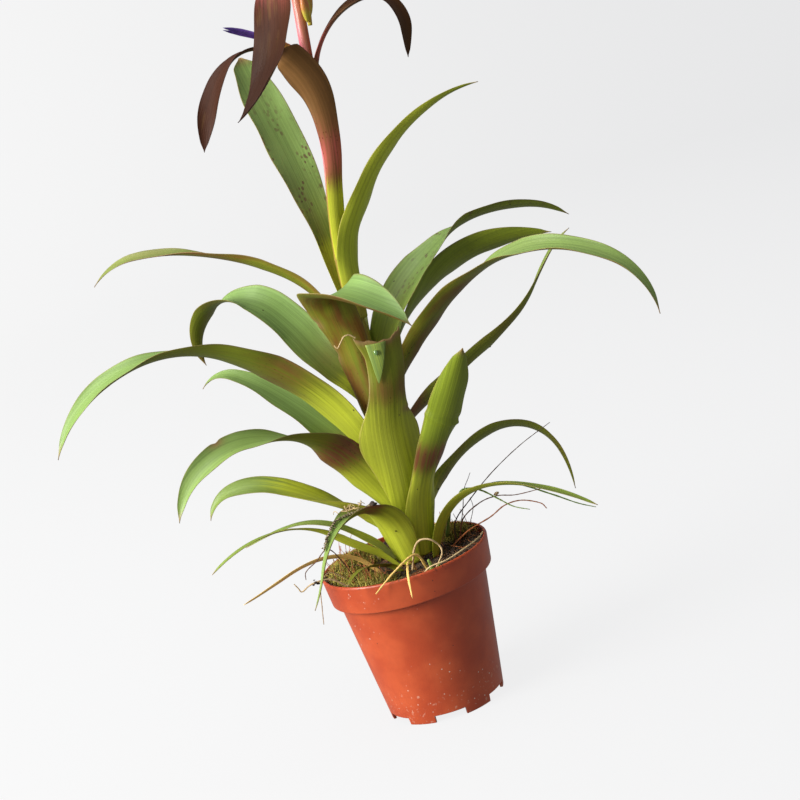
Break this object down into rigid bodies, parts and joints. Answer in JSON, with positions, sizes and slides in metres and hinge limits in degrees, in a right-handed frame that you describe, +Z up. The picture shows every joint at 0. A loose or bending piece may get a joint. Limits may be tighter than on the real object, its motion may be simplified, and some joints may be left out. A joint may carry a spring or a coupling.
{
  "type": "potted tillandsia",
  "caption": "Leafy bromeliad with a tall bracted flower stalk, rooted in soil in a small round plastic nursery pot.",
  "frame": {"origin": "on the pot's axis at the bottom of its skirt, on the surface it stands on", "axes": "+Z up along the pot's axis, +X to the right and -Y towards the viewer of the picture"},
  "size_m": [0.233, 0.1256, 0.373],
  "materials": {
    "pot": "satin",
    "soil": "matte",
    "moss": "matte",
    "stem": "satin",
    "leaf": "satin",
    "bract": "satin",
    "spike": "satin",
    "flower": "satin",
    "dry": "matte"
  },
  "bodies": {
    "root": {"pot": "pot", "soil": "soil", "stem": "stem", "leaf_low_left_hair": "leaf", "leaf_low_front_short": "leaf", "leaf_low_back_hair": "leaf", "leaf_low_right_small": "leaf", "leaf_low_left": "leaf", "leaf_low_right": "leaf", "leaf_back_low": "leaf", "leaf_front_pup": "leaf", "leaf_cut_right": "leaf", "leaf_cut_front": "leaf", "leaf_left_lower": "leaf", "leaf_left_behind": "leaf", "leaf_left_long": "leaf", "leaf_back_mid": "leaf", "leaf_right_twisted": "leaf", "leaf_front_folded": "leaf", "leaf_right_long": "leaf", "leaf_left_wide": "leaf", "leaf_right_behind": "leaf", "leaf_right_spotted": "leaf", "leaf_back_high": "leaf", "leaf_left_thin": "leaf", "leaf_upper_right": "leaf", "leaf_upper_wide": "leaf", "bract_leafy": "bract", "bract_left": "bract", "bract_right": "bract", "bract_hanging": "bract", "dry_leaf": "dry", "rim_strand": "dry", "bract_top_back": "bract", "bract_top_left": "bract", "bract_top_right": "bract", "spike_left": "spike", "spike_middle": "spike", "spike_upper_back": "spike", "spike_upper_left": "spike", "spike_upper_right": "spike", "spike_top": "spike", "flower_left": "flower", "flower_upper_left": "flower", "flower_upper_right": "flower", "moss": "moss"}
  },
  "joints": []
}
